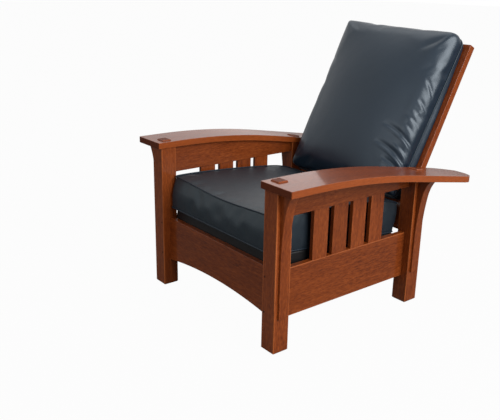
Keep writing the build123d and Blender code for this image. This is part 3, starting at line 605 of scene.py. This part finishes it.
def outline_point(x, y, half_width, low, high, radius):
    """Moves a plan point given as shares from -1 to 1 into an outline with round corners."""
    half_length = (high - low) / 2
    plan_x, plan_y = x * half_width, y * half_length
    over_x = abs(plan_x) - (half_width - radius)
    over_y = abs(plan_y) - (half_length - radius)
    if over_x > 0 and over_y > 0:
        reach, slant = max(over_x, over_y), math.hypot(over_x, over_y)
        plan_x = math.copysign(half_width - radius + over_x / slant * reach, plan_x)
        plan_y = math.copysign(half_length - radius + over_y / slant * reach, plan_y)
    return plan_x, (low + high) / 2 + plan_y


PUFF_STEPS = 20
PUFF_CLOTH = {
    "quality": 6,
    "mass": 0.45,
    "air_damping": 4.0,
    "tension_stiffness": 60.0,
    "compression_stiffness": 60.0,
    "shear_stiffness": 30.0,
    "bending_stiffness": 3.0,
    "tension_damping": 25.0,
    "compression_damping": 25.0,
    "shear_damping": 25.0,
    "use_pressure": True,
    "vertex_group_mass": "held",
}


def puffed(piece, pinned, pressure, slack, cap):
    """Blows a closed skin up with a cloth simulation and keeps the result in the mesh.

    slack is the share by which the cloth may grow, and cap how far a point may move.
    """
    mesh = piece.data
    before = [vertex.co.copy() for vertex in mesh.vertices]
    group = piece.vertex_groups.new(name="held")
    group.add([index for index in range(len(mesh.vertices)) if pinned[index]], 1.0, "REPLACE")
    cloth = piece.modifiers.new("puff", "CLOTH")
    for key, value in PUFF_CLOTH.items():
        setattr(cloth.settings, key, value)
    cloth.settings.uniform_pressure_force = pressure
    cloth.settings.shrink_min = -slack
    cloth.settings.effector_weights.gravity = 0.0
    cloth.collision_settings.use_collision = False
    scene = bpy.context.scene
    for step in range(1, PUFF_STEPS + 1):
        scene.frame_set(step)
    evaluated = piece.evaluated_get(bpy.context.evaluated_depsgraph_get())
    after = [vertex.co.copy() for vertex in evaluated.data.vertices]
    piece.modifiers.remove(cloth)
    piece.vertex_groups.clear()
    scene.frame_set(1)
    for vertex, old, new in zip(mesh.vertices, before, after):
        move = new - old
        if move.length > cap:
            move = move * (cap / move.length)
        vertex.co = old + move


def refined(piece):
    """Keeps one level of smooth subdivision in the mesh itself."""
    smoothing = piece.modifiers.new("fine", "SUBSURF")
    smoothing.levels = 1
    finer = evaluated_mesh(piece)
    piece.modifiers.clear()
    piece.data = finer


# How far a fold runs on before its start, as a share of its length
FOLD_LEAD = 0.15
# Where a fold ends on its steep side and on its flat side, in widths
FOLD_NEAR = -3.5
FOLD_FAR = 5.0
FOLD_FLAT_SLOPE = 0.5
# The lip beside its steep side: how high, where and how narrow
FOLD_LIP = 0.55
FOLD_LIP_AT = 1.9
FOLD_LIP_NARROWNESS = 1.2


def fold_depth(aside):
    """Depth of a fold at a distance to its side in widths, below 0 on its raised lip."""
    slope = aside * (FOLD_FLAT_SLOPE if aside > 0 else 1.0)
    lip = math.exp(-((aside + FOLD_LIP_AT) ** 2) * FOLD_LIP_NARROWNESS)
    return math.exp(-slope * slope) - FOLD_LIP * lip


def creased(piece, creases, unrolled):
    """Presses short folds into a cushion.

    unrolled gives a point's side and its place on the flat skin.
    """
    mesh = piece.data
    normals = [vertex.normal.copy() for vertex in mesh.vertices]
    for side, start, finish, bow, depth, width in creases:
        first = Vector(start)
        line = Vector(finish) - first
        across = Vector((-line.y, line.x)).normalized()
        for vertex, normal in zip(mesh.vertices, normals):
            vertex_side, flat = unrolled(vertex.co)
            share = (flat - first).dot(line) / line.length_squared
            if vertex_side != side or not -FOLD_LEAD < share < 1.0:
                continue
            aside = (flat - first).dot(across) / width - bow * 4 * share * (1 - share)
            if not FOLD_NEAR < aside < FOLD_FAR:
                continue
            fade = math.sin(math.pi * (share + FOLD_LEAD) / (1 + FOLD_LEAD)) ** 0.9
            vertex.co -= normal * depth * fade * fold_depth(aside)


def finished_cushion(piece, place, material, node_names, body):
    """Places, smooths and files a cushion cover."""
    piece.data.transform(place)
    dress(piece.data, material)
    smooth_faces(piece.data)
    smoothing = piece.modifiers.new("fine", "SUBSURF")
    smoothing.levels = 1
    smoothing.render_levels = 1
    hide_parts(*node_names)
    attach(piece, body)


def welt(name, points, place, body):
    """A piping cord along a closed loop of points."""
    curve = bpy.data.curves.new(name, "CURVE")
    curve.dimensions = "3D"
    curve.bevel_depth = WELT_RADIUS
    curve.bevel_resolution = 3
    curve.resolution_u = 2
    spline = curve.splines.new("NURBS")
    spline.points.add(len(points) - 1)
    for knot, point in zip(spline.points, points):
        knot.co = (*(place @ point), 1.0)
    spline.order_u = 3
    spline.use_cyclic_u = True
    line = link(name + "_line", curve)
    mesh = evaluated_mesh(line)
    bpy.data.objects.remove(line)
    mesh.name = name
    cord = link(name, mesh)
    dress(mesh, piping)
    smooth_faces(mesh)
    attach(cord, body)


def loop_order(points):
    """The points of one seam in order round its middle, with the outward direction of each."""
    middle = sum(points, Vector()) / len(points)
    outward = [Vector((point.x - middle.x, point.y - middle.y, 0.0)) for point in points]
    pairs = sorted(zip(points, outward), key=lambda pair: math.atan2(pair[1].y, pair[1].x))
    return [(point, away.normalized()) for point, away in pairs]


def block_mesh(name, block):
    mesh = bpy.data.meshes.new(name)
    block.to_mesh(mesh)
    block.free()
    return link(name, mesh)


# Seat cushion, in the frame of the deck: y rearwards from the deck's front edge, z up from it

SEAT_HALF = 0.3035
# Half the room between the front posts, which the cushion slides out through
SEAT_ROOM = 0.3076
SEAT_LAY_LENGTH = 0.61
SEAT_BAND = 0.120
SEAT_BAND_CELLS = 10
SEAT_RIM = 0.034
SEAT_CORNER = 0.011
SEAT_FOOT = 0.0008
SEAT_SEAM = 0.1235
SEAT_FRONT_SAG = 0.012
SEAT_SIDE_RISE = 0.011
SEAT_REAR_DROP = 0.010
SEAT_REAR_DROP_START = 0.62
# In front of this share of its length the cushion lies between the posts and stands out less
SEAT_POSTS_END = -0.86
SEAT_POSTS_SHARE = 0.25
SEAT_PRESSURE = 1.0
SEAT_SLACK = 0.004
SEAT_PUFF_CAP = 0.004
SEAT_WELT_OUT = 0.0014
SEAT_UPPER_WELT_LIFT = 0.0014
SEAT_LOWER_WELT_LIFT = 0.0030
# Height share of the band, then how far the side, the front and the rear stand out there
SEAT_BAND_SHAPE = (
    (0.0, 0.0005, 0.0210, 0.5830),
    (0.10, 0.0016, 0.0228, 0.5858),
    (0.35, 0.0024, 0.0245, 0.5905),
    (0.60, 0.0024, 0.0230, 0.5932),
    (0.85, 0.0014, 0.0165, 0.5922),
    (1.0, 0.0, 0.0105, 0.5885),
)


def seat_seam_height(x, y):
    """The height of the upper seam at a plan point given as shares from -1 to 1."""
    sag = SEAT_FRONT_SAG * math.cos(math.pi / 2 * min(abs(x), 1.0)) ** 2 * max(0.0, -y)
    side = SEAT_SIDE_RISE * max(0.0, 1.0 - y * y) ** 0.7 * abs(x) ** 2
    behind = max(0.0, (y - SEAT_REAR_DROP_START) / (1 - SEAT_REAR_DROP_START))
    return SEAT_SEAM - sag + side - SEAT_REAR_DROP * behind ** 2


def crowded(share, half, radius):
    """Draws a grid towards a rounded rim, so that its cells keep their length there."""
    lay = half - radius + radius * math.pi / 2
    distance = abs(share) * lay
    flat = half - radius
    if distance > flat:
        distance = flat + radius * math.sin(min((distance - flat) / radius, math.pi / 2))
    return math.copysign(distance / half, share)


def seat_point(x, y, z):
    """Moves a point of the plain block to its place on the seat cushion."""
    share_x = crowded(x / SEAT_HALF, SEAT_HALF, SEAT_RIM)
    share_y = crowded(2 * y / SEAT_LAY_LENGTH - 1, SEAT_LAY_LENGTH / 2, SEAT_RIM)
    level = z / SEAT_BAND
    side, front, rear = between(SEAT_BAND_SHAPE, level)
    posts_share = 1.0 if share_y > SEAT_POSTS_END else SEAT_POSTS_SHARE
    half_width = SEAT_HALF + side * posts_share * abs(share_x) ** 4
    plan_x, plan_y = outline_point(share_x, share_y, half_width, -front, rear, SEAT_CORNER)
    rise = seat_seam_height(share_x, share_y) - SEAT_FOOT
    return Vector((plan_x, plan_y, SEAT_FOOT + rise * level))


def make_seat_cushion():
    """The boxed seat cushion with a welt round each edge of its band.

    Its top follows the upper seam, and only the simulation fills it.
    """
    levels = [SEAT_BAND * index / SEAT_BAND_CELLS for index in range(SEAT_BAND_CELLS + 1)]
    block = gridded_block(SEAT_HALF, SEAT_LAY_LENGTH, levels)
    kinds = []
    for vertex in block.verts:
        side = on_side(vertex.co, SEAT_HALF, SEAT_LAY_LENGTH)
        top, bottom = vertex.co.z > SEAT_BAND - CLOSE, vertex.co.z < CLOSE
        kinds.append((bottom or (side and top), side and top, side and bottom))
    for vertex in block.verts:
        vertex.co = seat_point(*vertex.co)
    upper = [vertex.co.copy() for vertex, kind in zip(block.verts, kinds) if kind[1]]
    lower = [vertex.co.copy() for vertex, kind in zip(block.verts, kinds) if kind[2]]
    piece = block_mesh("seat_cushion", block)
    pinned = [kind[0] for kind in kinds]
    puffed(piece, pinned, SEAT_PRESSURE, SEAT_SLACK, SEAT_PUFF_CAP)
    for vertex in piece.data.vertices:
        vertex.co.x = max(-SEAT_ROOM, min(SEAT_ROOM, vertex.co.x))
    for name, seam, lift in (
        ("seat_upper_welt", upper, SEAT_UPPER_WELT_LIFT),
        ("seat_lower_welt", lower, SEAT_LOWER_WELT_LIFT),
    ):
        raised = Vector((0.0, 0.0, lift))
        points = [point + away * SEAT_WELT_OUT + raised for point, away in loop_order(seam)]
        welt(name, points, deck_place, "seat_cushion")
    replaced = ("seat_cushion_cover", "seat_cushion_core")
    finished_cushion(piece, deck_place, seat_leather, replaced, "seat_cushion")


# Back cushion, in the frame of the back: x across, then the height over its rear panel, then up

BACK_HALF = 0.2735
BACK_LOW = 0.0685
BACK_HIGH = 0.7290
# How far the rear of the solid cushion lies in front of the hinge line, and how far the skin keeps
# off that
BACK_SOLID_REAR = 0.0146
BACK_SKIN_GAP = 0.0005
BACK_LAY_LENGTH = 0.66
BACK_BAND = 0.026
BACK_CROWN = 0.0355
# The skin's edges rise in their middle by this, from a height over the rear panel and over a reach
BACK_EDGE_RISE = 0.004
BACK_EDGE_RISE_FROM = 0.09
BACK_EDGE_RISE_REACH = 0.03
BACK_AT_EDGE = 0.999
# Powers by which the edges' rise and the crown across fade, and by which the crown up the back does
BACK_EDGE_POWER = 2.4
BACK_UP_POWER = 2.6
BACK_PRESSURE = 1.2
BACK_SLACK = 0.005
BACK_PUFF_CAP = 0.006
BACK_WELT_OUT = 0.0024
# How far past the seam the skin follows how the seam stands out, and how it is moved forward
BACK_SEAM_OUT_REACH = 0.045
BACK_SEAM_FORWARD_REACH = 0.079
# Where the skin turns from the side to the front, from the cushion's middle
BACK_ROLL_EDGE = 0.2785
# Radii of the corners in the outline; each grows by its share where the skin draws in
BACK_TOP_CORNER = 0.012
BACK_TOP_CORNER_GROWTH = 0.55
BACK_LOW_CORNER = 0.010
BACK_LOW_CORNER_GROWTH = 0.25
BACK_FULLER_CORNER = 0.012
BACK_SHARPER_CORNER = 0.013
BACK_LEAST_CORNER = 0.002
# How much lower the top is at the +X side than in the middle
BACK_TOP_SLOPE = 0.008
# Distance over the skin from the rear panel, height over it, then how far the side, the top and
# the lower end stand out from the seam there
BACK_SHAPE = (
    (0.0, 0.0, 0.0, 0.0, 0.0),
    (0.013, 0.013, 0.0015, 0.0015, 0.0005),
    (0.026, 0.026, 0.0, 0.0, 0.0),
    (0.036, 0.036, 0.0045, 0.0030, 0.0006),
    (0.048, 0.048, 0.0080, 0.0055, 0.0006),
    (0.062, 0.062, 0.0108, 0.0075, -0.0020),
    (0.076, 0.076, 0.0100, 0.0060, -0.0035),
    (0.090, 0.0885, 0.0050, 0.0010, -0.0095),
    (0.105, 0.0985, -0.0055, -0.0090, -0.0170),
    (0.121, 0.1060, -0.0195, -0.0220, -0.0260),
    (0.138, 0.1112, -0.0355, -0.0370, -0.0370),
    (0.156, 0.1148, -0.0530, -0.0530, -0.0510),
)
# Distance over the skin, then how much farther out the roll of the +X side stands there
BACK_SIDE_ROLL = (
    (0.062, 0.0),
    (0.076, -0.003),
    (0.090, -0.005),
    (0.105, -0.0035),
    (0.121, 0.0),
    (0.138, 0.005),
    (0.156, 0.0),
)
# Share up the back from -1 to 1, then how far the rear edge and the seam stand out at the sides
# there and how far the seam is moved forward
BACK_SEAM_SHAPE = (
    (-1.0, 0.005, 0.000, 0.015),
    (-0.5, 0.010, 0.000, 0.012),
    (0.0, 0.012, 0.0015, 0.008),
    (0.5, 0.009, 0.005, 0.003),
    (0.9, 0.004, 0.007, 0.0),
    (1.0, 0.001, 0.004, 0.0),
)


def back_point(x, y, z):
    """Moves a point of the plain block to its place; here z is forward and y is up the back."""
    share_x = x / BACK_HALF
    share_y = 2 * y / BACK_LAY_LENGTH - 1
    height, side, top, low = between(BACK_SHAPE, z)
    rear_out, seam_out, forward = between(BACK_SEAM_SHAPE, share_y)
    if z < BACK_BAND:
        side += rear_out + (seam_out - rear_out) * z / BACK_BAND
        height += forward * z / BACK_BAND
    else:
        side += seam_out * max(0.0, 1.0 - (z - BACK_BAND) / BACK_SEAM_OUT_REACH)
        height += forward * max(0.0, 1.0 - (z - BACK_BAND) / BACK_SEAM_FORWARD_REACH)
    if share_x > 0:
        side += between(BACK_SIDE_ROLL, z)[0]
    drawn_in = max(0.0, -side)
    if share_y < 0:
        corner = BACK_LOW_CORNER + BACK_LOW_CORNER_GROWTH * drawn_in
    else:
        corner = BACK_TOP_CORNER + BACK_TOP_CORNER_GROWTH * drawn_in
        if share_x > 0:
            corner += BACK_FULLER_CORNER
        else:
            corner = max(BACK_LEAST_CORNER, corner - BACK_SHARPER_CORNER)
    high = BACK_HIGH + top - BACK_TOP_SLOPE * share_x * max(0.0, share_y)
    plan_x, plan_y = outline_point(
        share_x, share_y, BACK_HALF + side, BACK_LOW - low, high, corner
    )
    if z < BACK_SHAPE[-1][0] - CLOSE:
        risen = max(0.0, (height - BACK_EDGE_RISE_FROM) / BACK_EDGE_RISE_REACH)
        along = 1.0 - min(1.0, abs(share_y)) ** BACK_EDGE_POWER
        across = 1.0 - min(1.0, abs(share_x)) ** BACK_EDGE_POWER
        at_side = along * (abs(share_x) > BACK_AT_EDGE)
        at_end = across * (abs(share_y) > BACK_AT_EDGE)
        rise = BACK_EDGE_RISE * risen * max(at_side, at_end)
        return Vector((plan_x, plan_y, height + rise))
    along = 1.0 - abs(share_y) ** BACK_EDGE_POWER
    across = 1.0 - abs(share_x) ** BACK_EDGE_POWER
    edge = BACK_EDGE_RISE * max(along, across)
    crown = across * (1.0 - abs(share_y) ** BACK_UP_POWER)
    return Vector((plan_x, plan_y, height + edge + (BACK_CROWN - BACK_EDGE_RISE) * crown))


def unrolled_back(point):
    """Which side of the back cushion a point is on, and its place over the rolled skin."""
    side = 1 if point.x > 0 else -1
    over = max(0.0, BACK_ROLL_EDGE - abs(point.x))
    return side, Vector((point.z - BACK_BAND + over, point.y))


# Creases of the back cushion: side, start and finish (distance from the seam over the skin, height
# up the back), bow in widths, depth, width
BACK_CREASES = (
    (1, (0.048, 0.470), (0.118, 0.525), 1.2, 0.0056, 0.0046),
    (1, (0.050, 0.408), (0.112, 0.444), 0.8, 0.0044, 0.0042),
    (1, (0.062, 0.372), (0.116, 0.400), 0.7, 0.0022, 0.0036),
    (1, (0.058, 0.344), (0.128, 0.372), 0.9, 0.0028, 0.0038),
    (1, (0.066, 0.312), (0.130, 0.342), 0.7, 0.0024, 0.0036),
    (1, (0.040, 0.258), (0.232, 0.322), 1.6, 0.0066, 0.0056),
    (1, (0.050, 0.222), (0.150, 0.262), 0.8, 0.0034, 0.0046),
    (1, (0.040, 0.182), (0.240, 0.250), 1.8, 0.0070, 0.0058),
    (1, (0.050, 0.150), (0.180, 0.196), 1.2, 0.0056, 0.0050),
)


def make_back_cushion():
    """The back cushion, whose front panel wraps round to one welt near the rear."""
    block = gridded_block(BACK_HALF, BACK_LAY_LENGTH, [row[0] for row in BACK_SHAPE])
    kinds = []
    for vertex in block.verts:
        side = on_side(vertex.co, BACK_HALF, BACK_LAY_LENGTH)
        sewn = side and abs(vertex.co.z - BACK_BAND) < CLOSE
        kinds.append((vertex.co.z < CLOSE or sewn, sewn))
    for vertex in block.verts:
        vertex.co = back_point(*vertex.co)
    seam = [vertex.co.copy() for vertex, kind in zip(block.verts, kinds) if kind[1]]
    piece = block_mesh("back_cushion", block)
    pinned = [kind[0] for kind in kinds]
    puffed(piece, pinned, BACK_PRESSURE, BACK_SLACK, BACK_PUFF_CAP)
    refined(piece)
    creased(piece, BACK_CREASES, unrolled_back)
    rear = Matrix.Translation((0.0, -(BACK_SOLID_REAR + BACK_SKIN_GAP), 0.0))
    stand = back_place @ rear @ Matrix.Rotation(math.pi / 2, 4, "X")
    points = [point + away * BACK_WELT_OUT for point, away in loop_order(seam)]
    welt("back_welt", points, stand, "back")
    replaced = ("back_cushion_cover", "back_cushion_core")
    finished_cushion(piece, stand, back_leather, replaced, "back")


# Studio

CAMERA_PLACE = Vector((1.89671827, -1.31549209 + FRONT_POST_FACE, 1.18788038))
CAMERA_YAW = 0.900806481
CAMERA_PITCH = 0.325387747
CAMERA_ROLL = 0.0182317
FOCAL_PIXELS = 691.364
IMAGE_WIDTH = 500
SENSOR_WIDTH = 36.0
# Strength of the world as light on the chair, and as it shows in reflections
AMBIENT = 0.40
MIRRORED = 0.95
WHITE = (1.0, 1.0, 1.0, 1.0)
FLOOR_HALF = 30.0
FLOOR_GREY = 0.16
FLOOR_SHADOW = 0.03
# Name, place, what it is aimed at, its two sides and its power in watts
LAMPS = (
    ("key", (3.6, 0.35, 2.3), (0.0, 0.0, 0.4), (3.0, 2.9), 243.0),
    ("front", (0.8, -4.2, 2.6), (0.0, 0.0, 0.5), (4.5, 2.2), 56.0),
    ("overhead", (-0.6, 0.6, 3.4), (0.0, 0.0, 0.4), (2.4, 2.4), 26.0),
    ("rear", (-2.7, 3.4, 1.85), (0.0, 0.0, 0.5), (2.8, 1.0), 7.5),
)


def set_camera():
    """The camera fitted to the photograph."""
    looking = Vector((
        -math.sin(CAMERA_YAW) * math.cos(CAMERA_PITCH),
        math.cos(CAMERA_YAW) * math.cos(CAMERA_PITCH),
        -math.sin(CAMERA_PITCH),
    ))
    level = Vector((math.cos(CAMERA_YAW), math.sin(CAMERA_YAW), 0.0))
    above = level.cross(looking)
    right = level * math.cos(CAMERA_ROLL) + above * math.sin(CAMERA_ROLL)
    up = above * math.cos(CAMERA_ROLL) - level * math.sin(CAMERA_ROLL)
    turn = Matrix((right, up, -looking)).transposed().to_4x4()
    data = bpy.data.cameras.new("camera")
    data.sensor_width = SENSOR_WIDTH
    data.lens = FOCAL_PIXELS / IMAGE_WIDTH * SENSOR_WIDTH
    camera = link("camera", data)
    camera.matrix_world = Matrix.Translation(CAMERA_PLACE) @ turn
    bpy.context.scene.camera = camera


def set_lamp(name, place, aim, size, power):
    """A rectangular lamp that looks at a point."""
    data = bpy.data.lights.new(name, "AREA")
    data.shape = "RECTANGLE"
    data.size, data.size_y = size
    data.energy = power
    turn = (Vector(aim) - Vector(place)).to_track_quat("-Z", "Y").to_matrix().to_4x4()
    lamp = link(name, data)
    lamp.matrix_world = Matrix.Translation(place) @ turn


def set_floor():
    """A white floor that keeps a faint shadow of the chair."""
    sheet = bmesh.new()
    bmesh.ops.create_grid(sheet, x_segments=1, y_segments=1, size=FLOOR_HALF)
    floor = block_mesh("floor", sheet)
    finish = Finish("studio_white")
    lit = finish.add("ShaderNodeBsdfDiffuse", Color=(FLOOR_GREY, FLOOR_GREY, FLOOR_GREY, 1.0))
    white = finish.add("ShaderNodeEmission", Color=WHITE, Strength=1.0)
    faint = finish.add("ShaderNodeMixShader", input_0=FLOOR_SHADOW, input_1=white, input_2=lit)
    seen = finish.add("ShaderNodeLightPath", output=0)
    shown = finish.add("ShaderNodeMixShader", input_0=seen, input_1=lit, input_2=faint)
    floor.data.materials.append(finish.done(shown))


def set_world():
    """White for the camera, bright in reflections and softer as light on the chair."""
    world = bpy.data.worlds.new("studio")
    world.use_nodes = True
    bpy.context.scene.world = world
    tree = world.node_tree
    tree.nodes.clear()
    path = tree.nodes.new("ShaderNodeLightPath")
    output = tree.nodes.new("ShaderNodeOutputWorld")
    shades = []
    for strength in (AMBIENT, MIRRORED, 1.0):
        shade = tree.nodes.new("ShaderNodeBackground")
        shade.inputs[0].default_value = WHITE
        shade.inputs[1].default_value = strength
        shades.append(shade)
    glossy = tree.nodes.new("ShaderNodeMixShader")
    seen = tree.nodes.new("ShaderNodeMixShader")
    tree.links.new(path.outputs["Is Glossy Ray"], glossy.inputs[0])
    tree.links.new(shades[0].outputs[0], glossy.inputs[1])
    tree.links.new(shades[1].outputs[0], glossy.inputs[2])
    tree.links.new(path.outputs["Is Camera Ray"], seen.inputs[0])
    tree.links.new(glossy.outputs[0], seen.inputs[1])
    tree.links.new(shades[2].outputs[0], seen.inputs[2])
    tree.links.new(seen.outputs[0], output.inputs[0])


finish_wood()
finish_small_pieces()
make_seat_cushion()
make_back_cushion()
set_camera()
set_world()
set_floor()
for lamp_values in LAMPS:
    set_lamp(*lamp_values)
bpy.context.scene.view_settings.view_transform = "Standard"
